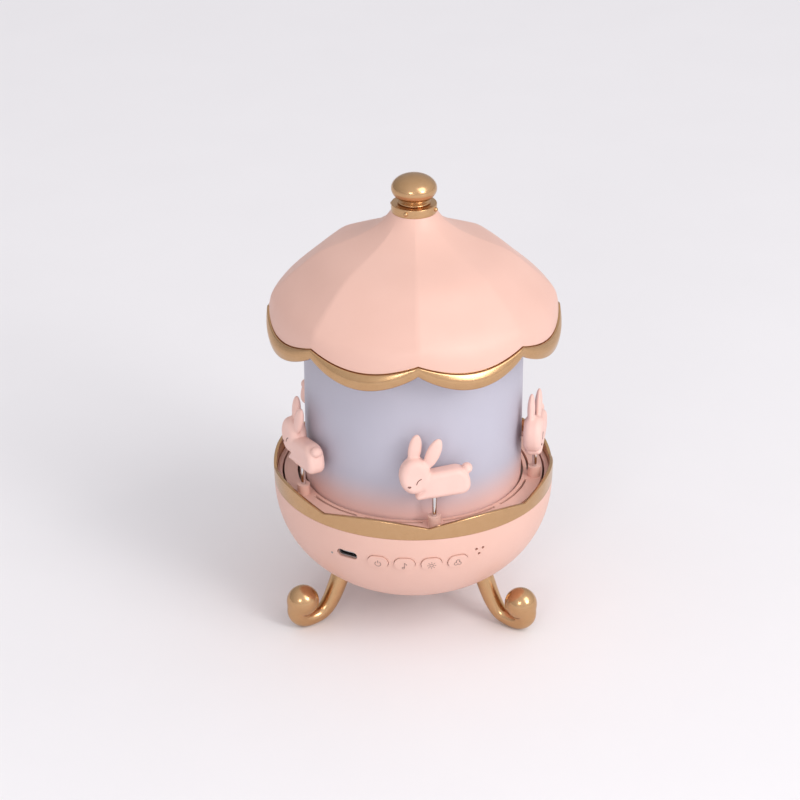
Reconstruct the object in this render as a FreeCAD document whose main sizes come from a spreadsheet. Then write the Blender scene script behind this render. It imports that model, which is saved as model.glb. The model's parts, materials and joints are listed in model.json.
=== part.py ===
import FreeCAD, Part
import math
import os
import Sketcher

# Carousel music box: a round bowl on three scroll feet holds the works. A turntable with five rabbits
# on rods runs round a frosted lamp shade, which carries a scalloped canopy with a knob on top.
# Millimetres, +Z up, origin on the ground under the axis, front towards -Y.
# Azimuth is counted from the front (-Y) towards the right (+X).

SIZES = {
    # bowl: its side follows (r/a)^p + (z/b)^p = 1 below the rim
    "bowl_top": 60.7, "bowl_half_width": 59.5, "bowl_depth": 48.8, "bowl_power": 2.167,
    "bowl_wall": 2.2, "bowl_bottom": 15.7, "bowl_floor": 2.4, "bowl_opening": 21.0,
    "cutter_near": 50.0, "cutter_far": 64.0,
    "pillar_radius": 3.5, "pillar_ring": 40.0, "cover_pillar_ring": 23.0, "cover_pillar_radius": 2.6,
    "cover_pillar_height": 5.0, "cover_pilot_depth": 6.0, "pillar_pilot_depth": 9.0,
    "pilot_radius": 1.05, "screw_radius": 1.0, "screw_head_radius": 1.9, "screw_head_height": 1.2,
    "screw_clearance": 0.1,
    # rim band and the fixed ring inside it
    "rim_outer": 59.6, "rim_crest": 59.7, "rim_inner": 58.2, "rim_low": 5.1, "rim_high": 8.3,
    "rim_turn": 28.5, "surround_inner": 56.05, "surround_outer": 58.1,
    # turntable
    "deck_top": 63.2, "deck_thickness": 2.0, "deck_outer": 55.25, "deck_inner": 47.0,
    "slot_ring": 49.05, "slot_width": 1.1, "slot_span": 29.0, "slot_offset": 16.5,
    "rotor_ring": 52.0, "rotor_turn": 9.3, "boss_radius": 2.7, "boss_top": 67.8,
    "web_bottom": 55.1, "web_top": 57.3, "web_outer": 54.4, "web_wall_inner": 52.6,
    "hub_bottom": 48.6, "hub_radius": 12.0, "hub_bore": 8.05, "hub_screw_ring": 18.0,
    # rabbits and rods
    "rod_radius": 1.0, "rod_fit": 0.02, "rod_bottom": 63.8, "rod_top": 81.9, "rabbit_base": 77.1,
    # central post and its bearing bush
    "post_radius": 6.0, "post_bore": 4.5, "post_fit": 0.03, "bush_radius": 8.0, "bush_top": 58.0,
    "bush_flange_radius": 12.0, "bush_flange_top": 48.4, "bush_bottom": 46.6,
    # gears
    "gear_module": 0.8, "gear_teeth": 60, "pinion_teeth": 12, "gear_bottom": 50.1, "gear_top": 54.1,
    "gear_bore": 14.0, "gear_play": 0.12, "shaft_radius": 1.5, "motor_azimuth": 90.0,
    # chassis and works
    "chassis_bottom": 40.6, "chassis_top": 43.1, "chassis_radius": 52.2, "chassis_socket_radius": 9.0,
    "gearbox_radius": 9.5, "gearbox_height": 9.0, "gearbox_screw_spread": 7.0, "gearbox_pilot_depth": 6.0,
    "motor_radius": 6.0, "motor_height": 7.0, "board_thickness": 1.6, "standoff": 1.5,
    "standoff_radius": 2.0, "battery_height": 5.6, "cable_hole_radius": 1.5, "cable_hole_ring": 15.0,
    # base cover and speaker
    "cover_radius": 24.6, "cover_bottom": 13.7, "cover_sound_radius": 1.2, "speaker_radius": 18.0,
    "speaker_magnet_radius": 9.0,
    # controls on the bowl
    "button_level": 48.8, "button_pitch": 10.95, "button_middle": 1.7, "button_width": 8.6,
    "button_height": 6.0, "button_proud": 0.7, "button_gap": 0.2, "button_back": 53.2,
    "button_flange": 0.8, "button_flange_depth": 1.2, "button_stem_radius": 1.4,
    "switch_front": 47.9, "switch_gap": 1.4, "switch_side": 4.5, "switch_depth": 2.5,
    "button_board_width": 36.0, "button_board_height": 10.2, "button_board_thickness": 1.2,
    "port_azimuth": -28.4, "port_level": 49.5, "port_width": 9.6, "port_height": 3.9,
    "socket_width": 9.0, "socket_height": 3.2, "socket_wall": 0.3, "socket_near": 49.0,
    "socket_far": 56.8, "tongue_width": 6.8, "tongue_height": 0.7,
    "light_azimuth": -35.9, "light_level": 47.8, "light_radius": 0.55, "light_near": 53.0,
    "light_far": 57.8, "sound_azimuth": 27.5, "sound_level": 52.0, "sound_radius": 0.65,
    "sound_spread": 1.75, "microphone_radius": 2.5, "microphone_near": 52.2, "microphone_far": 54.6,
    # shade
    "shade_radius": 46.04, "shade_wall": 2.0, "shade_bottom": 61.1, "shade_top": 137.6,
    "shade_base_bottom": 58.8, "shade_spigot_top": 66.6, "spigot_fit": 0.1, "spigot_wall": 2.4,
    "lamp_ring": 30.0, "lamp_side": 3.5, "lamp_height": 1.2,
    # canopy
    "ceiling_bottom": 137.6, "ceiling_top": 139.8, "ceiling_radius": 55.6, "ceiling_lip": 6.0,
    "canopy_top": 181.9, "canopy_turn": 1.4, "canopy_edge_cusp": 140.3, "canopy_edge_middle": 135.6,
    "canopy_wall": 2.0, "canopy_flatness": 0.6, "trim_cusp": 135.5, "trim_middle": 128.0,
    "trim_radius_cusp": 60.9, "trim_radius_middle": 61.9, "trim_thickness": 2.6, "trim_step": 0.55,
    # collar, knob and tie rod
    "collar_radius": 9.4, "collar_height": 3.6, "stud_radius": 0.95, "stud_turn": -21.0,
    "knob_radius": 9.4, "knob_half_height": 5.9, "knob_height": 12.2, "tie_rod_radius": 1.5,
    "tie_rod_bottom": 125.6, "tie_rod_top": 191.6, "tie_rod_fit": 0.06,
    # feet: a leg, a knee arc, an arc that rises from the ground and a ball inside the curl
    "foot_radius": 3.3, "foot_low_ring": 51.5, "foot_lean": 66.0, "foot_knee_arc": 11.5,
    "foot_rise_arc": 6.8, "foot_leg": 16.0, "foot_flat": 0.25, "foot_ball_radius": 7.1,
    "foot_ball_ring": 54.8, "foot_ball_level": 12.7, "foot_screw_low": 6.4, "foot_screw_seat": 14.6,
}

# the canopy's mean outline: radius and drop below its top, from the lower edge up
CANOPY_KNOTS = ((60.1, 45.5), (57.8, 36.9), (53.3, 31.1), (47.3, 25.6), (39.0, 18.7), (30.0, 14.3),
                (21.6, 10.5), (15.6, 6.8), (11.4, 2.9), (9.4, 0.0))
# the knob's neck: radius and rise over the collar
KNOB_NECK = ((6.3, 0.0), (6.8, 0.6), (6.2, 1.2), (5.9, 1.5))
# a rabbit, head along +X, from its belly at the rod: half length, half width, half height, middle, tilt
RABBIT = {
    "body": (10.6, 3.9, 6.5, (-4.2, 0, 6.4), -6),
    "head": (6.6, 4.0, 7.4, (8.1, 0, 10.3), 0),
    "front_ear": (2.7, 1.5, 7.0, (8.0, -1.1, 21.2), -8),
    "rear_ear": (2.8, 1.5, 7.4, (0.9, 1.2, 19.9), -24),
    "tail": (2.5, 2.5, 2.5, (-13.2, 0, 11.6), 0),
}
LOBES = 8
RABBITS = 5
FOOT_AZIMUTHS = {"left": -59.7, "right": 57.0, "rear": 178.6}
PILLAR_AZIMUTHS = (0, 120, 240)
BUTTONS = ("power", "mode", "light", "turn")
UP = FreeCAD.Vector(0, 0, 1)

doc = FreeCAD.newDocument("carousel_music_box")
sheet = doc.addObject("Spreadsheet::Sheet", "Sizes")
parts = []


class Size:
    """A sheet cell, or a sum of cells, which knows its number and its expression."""

    def __init__(self, number, text):
        self.number = number
        self.text = text

    def __float__(self):
        return self.number

    def __add__(self, other):
        return Size(self.number + float(other), "(%s + %s)" % (self.text, words(other)))

    def __sub__(self, other):
        return Size(self.number - float(other), "(%s - %s)" % (self.text, words(other)))


def words(value):
    return value.text if isinstance(value, Size) else repr(float(value))


def size(name):
    return Size(SIZES[name], "Sizes." + name)


def number(name):
    return float(SIZES[name])


def fill_sheet():
    for row, (name, value) in enumerate(SIZES.items(), start=1):
        sheet.set("A%d" % row, name.replace("_", " "))
        sheet.set("B%d" % row, str(value))
        sheet.setAlias("B%d" % row, name)
    doc.recompute()


def bind(thing, prop, value):
    if isinstance(value, Size):
        thing.setExpression(prop, value.text)
    else:
        setattr(thing, prop, value)


def finish(thing, label):
    """Keep an object as a sub-part: its label is the node's name."""
    thing.Label = label
    parts.append(thing)
    return thing


def place(thing, at=(0, 0, 0), turn=0.0, axis=UP):
    thing.Placement = FreeCAD.Placement(FreeCAD.Vector(*[float(v) for v in at]),
                                        FreeCAD.Rotation(axis, turn))
    for letter, value in zip("xyz", at):
        if isinstance(value, Size):
            thing.setExpression("Placement.Base." + letter, value.text)
    return thing


def polar(ring, azimuth, height):
    """A point at a ring radius, an azimuth from the front and a height."""
    angle = math.radians(azimuth)
    return FreeCAD.Vector(ring * math.sin(angle), -ring * math.cos(angle), height)


def outward(azimuth):
    return polar(1.0, azimuth, 0.0)


# ---- builders of simple pieces ----

def origin_item(body, role):
    return [item for item in body.Origin.OriginFeatures if item.Role == role][0]


def new_sketch(body, name, plane):
    sketch = body.newObject("Sketcher::SketchObject", name)
    sketch.AttachmentSupport = [(origin_item(body, plane), "")]
    sketch.MapMode = "FlatFace"
    return sketch


def hold(sketch, kind, line, value):
    """Fix one coordinate of a line's start point, bound to the sheet where it is a size."""
    if abs(float(value)) < 1e-9:
        own_axis = -2 if kind == "DistanceX" else -1
        sketch.addConstraint(Sketcher.Constraint("PointOnObject", line, 1, own_axis))
        return
    index = sketch.addConstraint(Sketcher.Constraint(kind, -1, 1, line, 1, float(value)))
    if isinstance(value, Size):
        sketch.setExpression("Constraints[%d]" % index, value.text)


def revolved(label, outline):
    """A body turned about Z from a closed outline of (radius, height) corners."""
    body = doc.addObject("PartDesign::Body", label)
    sketch = new_sketch(body, label + "_outline", "XZ_Plane")
    corners = [FreeCAD.Vector(float(r), float(z), 0) for r, z in outline]
    for index, corner in enumerate(corners):
        sketch.addGeometry(Part.LineSegment(corner, corners[(index + 1) % len(corners)]), False)
    for index in range(len(corners)):
        following = (index + 1) % len(corners)
        sketch.addConstraint(Sketcher.Constraint("Coincident", index, 2, following, 1))
    for index, (radius, height) in enumerate(outline):
        hold(sketch, "DistanceX", index, radius)
        hold(sketch, "DistanceY", index, height)
    turn = body.newObject("PartDesign::Revolution", label + "_turn")
    turn.Profile = sketch
    turn.ReferenceAxis = (sketch, ["V_Axis"])
    turn.Angle = 360
    body.Tip = turn
    doc.recompute()
    return body


def drilled(body, radius, ring, azimuth, count):
    """Cut a ring of upright through holes into a body."""
    before = body.Shape.Volume
    name = "%s_hole%d" % (body.Name, len(body.Group))
    sketch = new_sketch(body, name, "XY_Plane")
    centre = polar(float(ring), azimuth, 0)
    sketch.addGeometry(Part.Circle(centre, UP, float(radius)), False)
    index = sketch.addConstraint(Sketcher.Constraint("Radius", 0, float(radius)))
    if isinstance(radius, Size):
        sketch.setExpression("Constraints[%d]" % index, radius.text)
    pocket = body.newObject("PartDesign::Pocket", name + "_cut")
    pocket.Profile = sketch
    pocket.Type = "ThroughAll"
    pocket.SideType = "Symmetric"
    body.Tip = pocket
    if count > 1:
        pattern = body.newObject("PartDesign::PolarPattern", name + "_ring")
        pattern.Originals = [pocket]
        pattern.Axis = (origin_item(body, "Z_Axis"), [""])
        pattern.Angle = 360
        pattern.Occurrences = count
        body.Tip = pattern
    doc.recompute()
    if body.Shape.Volume >= before:
        raise RuntimeError(body.Label + ": a ring of holes cuts nothing")
    return body


def box(name, length, width, height, at, turn=0.0):
    thing = doc.addObject("Part::Box", name)
    bind(thing, "Length", length)
    bind(thing, "Width", width)
    bind(thing, "Height", height)
    return place(thing, at, turn)


def cylinder(name, radius, height, at=(0, 0, 0)):
    thing = doc.addObject("Part::Cylinder", name)
    bind(thing, "Radius", radius)
    bind(thing, "Height", height)
    return place(thing, at)


def ellipsoid(name, half_length, half_width, half_height, at, tilt=0.0):
    """An ellipsoid, tilted in the XZ plane."""
    thing = doc.addObject("Part::Ellipsoid", name)
    thing.Radius1 = half_height
    thing.Radius2 = half_length
    thing.Radius3 = half_width
    return place(thing, at, tilt, FreeCAD.Vector(0, 1, 0))


def fused(name, things):
    thing = doc.addObject("Part::MultiFuse", name)
    thing.Shapes = things
    return thing


def cut(name, base, tool):
    thing = doc.addObject("Part::Cut", name)
    thing.Base = base
    thing.Tool = tool
    return thing


def group(name, things):
    thing = doc.addObject("Part::Compound", name)
    thing.Links = things
    return thing


def computed(label, shape):
    """A sub-part whose shape is worked out here from the sheet's sizes."""
    thing = doc.addObject("Part::Feature", label)
    thing.Shape = shape
    return finish(thing, label)


def screws(label, places, length, pointing=1):
    """A group of equal upright screws, each a head and a shank under it (or over it: pointing -1)."""
    singles = []
    for at in places:
        head = Part.makeCylinder(number("screw_head_radius"), number("screw_head_height"),
                                 FreeCAD.Vector(*at), UP * pointing)
        shank = Part.makeCylinder(number("screw_radius"), length, FreeCAD.Vector(*at), UP * -pointing)
        singles.append(head.fuse(shank).removeSplitter())
    return computed(label, Part.makeCompound(singles))


# ---- bowl ----

def bowl_point(part_turn, growth=0.0):
    """A point of the bowl's side, from 0 at its top edge to 1 on the axis, grown outwards."""
    angle = part_turn * math.pi / 2
    power = 2.0 / number("bowl_power")
    radius = (number("bowl_half_width") + growth) * max(math.cos(angle), 0.0) ** power
    drop = (number("bowl_depth") + growth) * math.sin(angle) ** power
    return FreeCAD.Vector(radius, 0, number("bowl_top") - drop)


def bowl_body(growth, top, bottom):
    """The solid inside the bowl's side, grown by a distance, between two levels."""
    points = [bowl_point(step / 16.0, growth) for step in range(17)]
    side = Part.BSplineCurve()
    side.interpolate(points)
    axis_top = FreeCAD.Vector(0, 0, points[0].z)
    edges = [side.toShape(), Part.makeLine(points[-1], axis_top), Part.makeLine(axis_top, points[0])]
    solid = Part.Face(Part.Wire(edges)).revolve(FreeCAD.Vector(), UP, 360)
    neck = number("bowl_half_width") + growth
    if top > points[0].z:
        solid = solid.fuse(Part.makeCylinder(neck, top - points[0].z, axis_top)).removeSplitter()
    return solid.common(Part.makeCylinder(neck + 5, top - bottom, FreeCAD.Vector(0, 0, bottom)))


def radial_prism(azimuth, level, width, height, near, far):
    """A stadium prism along the radial direction of an azimuth."""
    half = height / 2.0
    run = width / 2.0 - half
    corners = [FreeCAD.Vector(near, -run, level - half), FreeCAD.Vector(near, run, level - half),
               FreeCAD.Vector(near, run, level + half), FreeCAD.Vector(near, -run, level + half)]
    edges = [Part.makeLine(corners[0], corners[1]), Part.makeLine(corners[2], corners[3])]
    if run > 0:
        for side, (start, end) in ((1, (corners[1], corners[2])), (-1, (corners[3], corners[0]))):
            middle = FreeCAD.Vector(near, side * (run + half), level)
            edges.append(Part.Arc(start, middle, end).toShape())
    wire = Part.Wire(Part.__sortEdges__(edges))
    prism = Part.Face(wire).extrude(FreeCAD.Vector(far - near, 0, 0))
    return prism.rotate(FreeCAD.Vector(), UP, azimuth - 90)


def radial_cylinder(azimuth, level, radius, near, far):
    return Part.makeCylinder(radius, far - near, polar(near, azimuth, level), outward(azimuth))


def button_azimuths():
    middle = (len(BUTTONS) - 1) / 2.0
    return [number("button_middle") + (index - middle) * number("button_pitch")
            for index in range(len(BUTTONS))]


def sound_points():
    """Azimuth and level of the three sound holes, at the corners of a triangle."""
    points = []
    for corner in (30, 150, 270):
        across = number("sound_spread") * math.cos(math.radians(corner))
        rise = number("sound_spread") * math.sin(math.radians(corner))
        azimuth = number("sound_azimuth") + math.degrees(across / number("bowl_half_width"))
        points.append((azimuth, number("sound_level") + rise))
    return points


def pillar_places(height):
    return [polar(number("pillar_ring"), azimuth, height) for azimuth in PILLAR_AZIMUTHS]


def cover_places(height):
    return [polar(number("cover_pillar_ring"), azimuth + 60, height) for azimuth in PILLAR_AZIMUTHS]


def make_bowl():
    top = number("bowl_top")
    bottom = number("bowl_bottom")
    wall = number("bowl_wall")
    floor_top = bottom + number("bowl_floor")
    outside = bowl_body(0.0, top, bottom)
    inside = bowl_body(-wall, top + 1, floor_top)
    shell = outside.cut(inside)
    shell = shell.cut(Part.makeCylinder(number("bowl_opening"), 10, FreeCAD.Vector(0, 0, bottom - 5)))
    pillars = []
    for place_low in pillar_places(bottom):
        height = number("chassis_bottom") - bottom
        pillars.append(Part.makeCylinder(number("pillar_radius"), height, place_low))
    for place_low in cover_places(floor_top):
        pillars.append(Part.makeCylinder(number("cover_pillar_radius"), number("cover_pillar_height"),
                                         place_low))
    pillars = [pillar.common(outside) for pillar in pillars]
    shell = shell.multiFuse(pillars).removeSplitter()
    pilot = number("pilot_radius")
    depth = number("pillar_pilot_depth")
    holes = [Part.makeCylinder(pilot, depth + 1, at)
             for at in pillar_places(number("chassis_bottom") - depth)]
    depth = number("cover_pilot_depth")
    holes += [Part.makeCylinder(pilot, depth + 1, at) for at in cover_places(bottom - 1)]
    holes += [foot_bolt(azimuth, pilot) for azimuth in FOOT_AZIMUTHS.values()]
    near = number("cutter_near")
    far = number("cutter_far")
    gap = 2 * number("button_gap")
    for azimuth in button_azimuths():
        holes.append(radial_prism(azimuth, number("button_level"), number("button_width") + gap,
                                  number("button_height") + gap, near, far))
    holes.append(radial_prism(number("port_azimuth"), number("port_level"), number("port_width"),
                              number("port_height"), near, far))
    holes.append(radial_cylinder(number("light_azimuth"), number("light_level"),
                                 number("light_radius"), near, far))
    for azimuth, level in sound_points():
        holes.append(radial_cylinder(azimuth, level, number("sound_radius"), near, far))
    computed("bowl_shell", shell.cut(Part.makeCompound(holes)))


def make_rim():
    """The scalloped band: each lobe's top is part of a level cylinder that points at the axis."""
    low = number("bowl_top")
    half = math.pi / LOBES
    rise = number("rim_high") - number("rim_low")
    chord = number("rim_crest") * math.sin(half)
    arc_radius = (chord ** 2 + rise ** 2) / (2 * rise)
    high = low + number("rim_high")
    slope = (number("rim_crest") - number("rim_outer")) / number("rim_high")
    top = high + 1
    crest = number("rim_outer") + slope * (top - low)
    corners = [(number("rim_inner"), low), (number("rim_outer"), low), (crest, top),
               (number("rim_inner"), top)]
    points = [FreeCAD.Vector(r, 0, z) for r, z in corners]
    face = Part.Face(Part.makePolygon(points + points[:1]))
    face.rotate(FreeCAD.Vector(), UP, -math.degrees(half))
    sector = face.revolve(FreeCAD.Vector(), UP, 2 * math.degrees(half))
    dome = Part.makeCylinder(arc_radius, 20, FreeCAD.Vector(50, 0, high - arc_radius),
                             FreeCAD.Vector(1, 0, 0))
    lobe = sector.common(dome)
    lobes = []
    for index in range(LOBES):
        copy = lobe.copy()
        copy.rotate(FreeCAD.Vector(), UP, -90 + number("rim_turn") + index * 360.0 / LOBES)
        lobes.append(copy)
    computed("bowl_rim", lobes[0].multiFuse(lobes[1:]).removeSplitter())
    surround = revolved("deck_surround", [
        (size("surround_inner"), size("bowl_top")), (size("surround_outer"), size("bowl_top")),
        (size("surround_outer"), size("deck_top")), (size("surround_inner"), size("deck_top"))])
    finish(surround, "deck_surround")


def make_base_cover():
    """A round cover under the bowl, with a rosette of sound holes, and its screws."""
    cover = revolved("base_cover", [
        (0, size("cover_bottom")), (size("cover_radius"), size("cover_bottom")),
        (size("cover_radius"), size("bowl_bottom")), (0, size("bowl_bottom"))])
    drilled(cover, size("screw_radius") + size("screw_clearance"), number("cover_pillar_ring"), 60, 3)
    for ring, turn, count in ((12.0, 0, 12), (7.5, 15, 8), (3.0, 0, 4)):
        drilled(cover, size("cover_sound_radius"), ring, turn, count)
    finish(cover, "base_cover")
    screws("base_cover_screws", cover_places(number("cover_bottom")), 7.5, -1)


# ---- feet ----

def foot_knee():
    """Where a foot's straight leg meets its knee arc, as a radius and a height."""
    lean = math.radians(number("foot_lean"))
    arc = number("foot_knee_arc")
    radius = number("foot_low_ring") - arc * math.sin(lean)
    return radius, number("foot_radius") - number("foot_flat") + arc * (1 - math.cos(lean))


def leg_direction():
    lean = math.radians(number("foot_lean"))
    return FreeCAD.Vector(-math.cos(lean), 0, math.sin(lean))


def leg_bar(azimuth, radius, low, high):
    """A cylinder along a foot's leg, between two distances from the knee."""
    knee_radius, knee_height = foot_knee()
    direction = leg_direction()
    at = FreeCAD.Vector(knee_radius, 0, knee_height) + direction * low
    bar = Part.makeCylinder(radius, high - low, at, direction)
    return bar.rotate(FreeCAD.Vector(), UP, azimuth - 90)


def foot_bolt(azimuth, radius):
    low = number("foot_screw_low") - 0.4
    return leg_bar(azimuth, radius, low, number("foot_screw_seat") + 3)


def foot_path():
    """Centre line of a foot in the XZ plane: a straight leg, a knee arc and a rising arc."""
    ring = number("foot_low_ring")
    low = number("foot_radius") - number("foot_flat")
    knee_arc = number("foot_knee_arc")
    rise_arc = number("foot_rise_arc")
    knee_radius, knee_height = foot_knee()
    knee = FreeCAD.Vector(knee_radius, 0, knee_height)
    leg_top = knee + leg_direction() * number("foot_leg")
    half_way = math.radians(number("foot_lean")) / 2
    knee_middle = FreeCAD.Vector(ring - knee_arc * math.sin(half_way), 0,
                                 low + knee_arc * (1 - math.cos(half_way)))
    bottom = FreeCAD.Vector(ring, 0, low)
    side = FreeCAD.Vector(ring + rise_arc, 0, low + rise_arc)
    corner = math.sqrt(0.5)
    side_middle = FreeCAD.Vector(ring + rise_arc * corner, 0, low + rise_arc * (1 - corner))
    edges = [Part.makeLine(leg_top, knee), Part.Arc(knee, knee_middle, bottom).toShape(),
             Part.Arc(bottom, side_middle, side).toShape()]
    return Part.Wire(edges), leg_top


def make_feet():
    wire, start = foot_path()
    ring = Part.Wire(Part.Circle(start, leg_direction(), number("foot_radius")).toShape())
    scroll = wire.makePipeShell([ring], True, True)
    middle = FreeCAD.Vector(number("foot_ball_ring"), 0, number("foot_ball_level"))
    foot = scroll.fuse(Part.makeSphere(number("foot_ball_radius"), middle))
    foot = foot.cut(Part.makeBox(90, 40, 10, FreeCAD.Vector(-10, -20, -10)))
    foot = foot.cut(bowl_body(0.0, number("bowl_top"), number("bowl_bottom")))
    bolts = []
    seat = number("foot_screw_seat")
    for name, azimuth in FOOT_AZIMUTHS.items():
        copy = foot.copy()
        copy.rotate(FreeCAD.Vector(), UP, azimuth - 90)
        computed("foot_" + name, copy.cut(foot_bolt(azimuth, number("pilot_radius"))))
        shank = leg_bar(azimuth, number("screw_radius"), number("foot_screw_low"), seat)
        head = leg_bar(azimuth, number("screw_head_radius"), seat, seat + number("screw_head_height"))
        bolts.append(shank.fuse(head).removeSplitter())
    computed("foot_screws", Part.makeCompound(bolts))


# ---- works inside the bowl ----

def motor_centre():
    return number("gear_module") * (number("gear_teeth") + number("pinion_teeth")) / 2 + number("gear_play")


def gearbox_screw_places(height):
    spread = number("gearbox_screw_spread")
    return [polar(motor_centre() + side * spread, number("motor_azimuth"), height) for side in (-1, 1)]


def gear(teeth, bottom, top, bore, half_pitch):
    """A spur gear with straight-sided teeth; half_pitch 1 puts a gap at azimuth 0."""
    module = number("gear_module")
    pitch = module * teeth / 2.0
    outer = pitch + 0.9 * module
    root = pitch - 1.2 * module
    step = 2 * math.pi / teeth
    tooth = ((root, -0.34), (outer, -0.13), (outer, 0.13), (root, 0.34))
    points = []
    for index in range(teeth):
        middle = (index + half_pitch / 2.0) * step
        for radius, share in tooth:
            angle = middle + share * step
            points.append(FreeCAD.Vector(radius * math.sin(angle), -radius * math.cos(angle), bottom))
    face = Part.Face(Part.makePolygon(points + points[:1]))
    solid = face.extrude(UP * (top - bottom))
    return solid.cut(Part.makeCylinder(bore, top - bottom + 2, FreeCAD.Vector(0, 0, bottom - 1)))


def make_drive():
    centre = motor_centre()
    bottom = number("gear_bottom")
    top = number("gear_top")
    ring = gear(int(number("gear_teeth")), bottom, number("web_bottom"), number("gear_bore"), 0)
    screw_ring = number("hub_screw_ring")
    places = [polar(screw_ring, azimuth, bottom) for azimuth in (30, 150, 270)]
    holes = [Part.makeCylinder(number("pilot_radius"), 12, at - UP * 2) for at in places]
    computed("ring_gear", ring.cut(Part.makeCompound(holes)))
    screws("ring_gear_screws", places, number("web_top") - bottom - 0.4, -1)
    shaft_radius = number("shaft_radius")
    pinion = gear(int(number("pinion_teeth")), bottom, top, shaft_radius + 0.02, 1)
    at = polar(centre, number("motor_azimuth"), 0)
    pinion.translate(at)
    computed("motor_pinion", pinion)
    shaft = cylinder("motor_shaft_bar", size("shaft_radius"), size("gear_top") - size("chassis_bottom"),
                     (at.x, at.y, size("chassis_bottom")))
    finish(shaft, "motor_shaft")
    gearbox_low = size("chassis_bottom") - size("gearbox_height")
    block = cylinder("gearbox_block", size("gearbox_radius"), size("gearbox_height"),
                     (at.x, at.y, gearbox_low))
    bores = [cylinder("gearbox_bore", size("shaft_radius") + 0.05, 4,
                      (at.x, at.y, size("chassis_bottom") - 2))]
    for index, spot in enumerate(gearbox_screw_places(0)):
        bores.append(cylinder("gearbox_pilot%d" % index, size("pilot_radius"),
                              size("gearbox_pilot_depth") + 2,
                              (spot.x, spot.y, size("chassis_bottom") - size("gearbox_pilot_depth"))))
    finish(cut("gearbox_cut", block, group("gearbox_bores", bores)), "gearbox_case")
    screws("gearbox_screws", gearbox_screw_places(number("chassis_top")), 7.0)
    motor = cylinder("motor_can", size("motor_radius"), size("motor_height"),
                     (at.x, at.y, gearbox_low - size("motor_height")))
    finish(motor, "gear_motor")


def make_chassis():
    """The round floor plate of the works, with the socket of the central post."""
    bottom = size("chassis_bottom")
    top = size("chassis_top")
    inner = size("post_radius") + size("post_fit")
    plate = revolved("chassis_disc", [
        (0, bottom), (size("chassis_radius"), bottom), (size("chassis_radius"), top),
        (size("chassis_socket_radius"), top), (size("chassis_socket_radius"), size("bush_bottom")),
        (inner, size("bush_bottom")), (inner, top), (0, top)])
    clear = size("screw_radius") + size("screw_clearance")
    drilled(plate, clear, number("pillar_ring"), 0, 3)
    azimuth = number("motor_azimuth")
    drilled(plate, size("shaft_radius") + 0.6, motor_centre(), azimuth, 1)
    for side in (-1, 1):
        drilled(plate, clear, motor_centre() + side * number("gearbox_screw_spread"), azimuth, 1)
    drilled(plate, size("cable_hole_radius"), number("cable_hole_ring"), 55, 1)
    standoffs = [cylinder("standoff%d" % index, size("standoff_radius"), size("standoff"), (x, y, top))
                 for index, (x, y) in enumerate(((-42, -14), (-42, 14), (-17, -14), (-17, 14)))]
    finish(fused("chassis", [plate] + standoffs), "chassis_plate")
    screws("chassis_screws", pillar_places(number("chassis_top")), 8.0)
    post = revolved("centre_post", [
        (size("post_bore"), top), (size("post_radius"), top),
        (size("post_radius"), size("ceiling_bottom")), (size("post_bore"), size("ceiling_bottom"))])
    finish(post, "centre_post")
    bush = revolved("turntable_bush", [
        (inner, size("bush_bottom")), (size("bush_flange_radius"), size("bush_bottom")),
        (size("bush_flange_radius"), size("bush_flange_top")),
        (size("bush_radius"), size("bush_flange_top")), (size("bush_radius"), size("bush_top")),
        (inner, size("bush_top"))])
    finish(bush, "turntable_bush")


def make_boards():
    """Main board on the left of the chassis, button board at the front, battery and speaker."""
    thickness = size("board_thickness")
    level = size("chassis_top") + size("standoff")
    finish(box("main_board_plate", 32, 36, thickness, (-46, -18, level)), "main_board")
    above = level + thickness
    chips = [box("controller_chip", 9, 9, 1.4, (-34, -4, above)),
             box("amplifier_chip", 5, 6, 1.4, (-42, -14, above)),
             box("battery_plug", 6, 8, 2.2, (-23, 8, above)),
             box("motor_plug", 6, 8, 2.2, (-23, -14, above)),
             box("capacitor", 4, 4, 3.5, (-42, 6, above))]
    finish(group("board_parts_group", chips), "board_components")
    battery = box("battery_block", 46, 32, size("battery_height"),
                  (-30, -27, size("chassis_bottom") - size("battery_height")))
    finish(battery, "battery_pack")
    turn = number("button_middle")
    front = number("switch_front")
    width = number("button_board_width")
    depth = number("switch_depth")
    board = Part.makeBox(width, number("button_board_thickness"), number("button_board_height"),
                         FreeCAD.Vector(-width / 2, depth - front, number("chassis_top")))
    computed("button_board", board.rotate(FreeCAD.Vector(), UP, turn))
    switches = []
    side = number("switch_side")
    for azimuth in button_azimuths():
        across = (front + number("switch_gap")) * math.tan(math.radians(azimuth - turn))
        corner = FreeCAD.Vector(across - side / 2, -front, number("button_level") - side / 2)
        switches.append(Part.makeBox(side, depth, side, corner).rotate(FreeCAD.Vector(), UP, turn))
    computed("button_switches", Part.makeCompound(switches))


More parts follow.
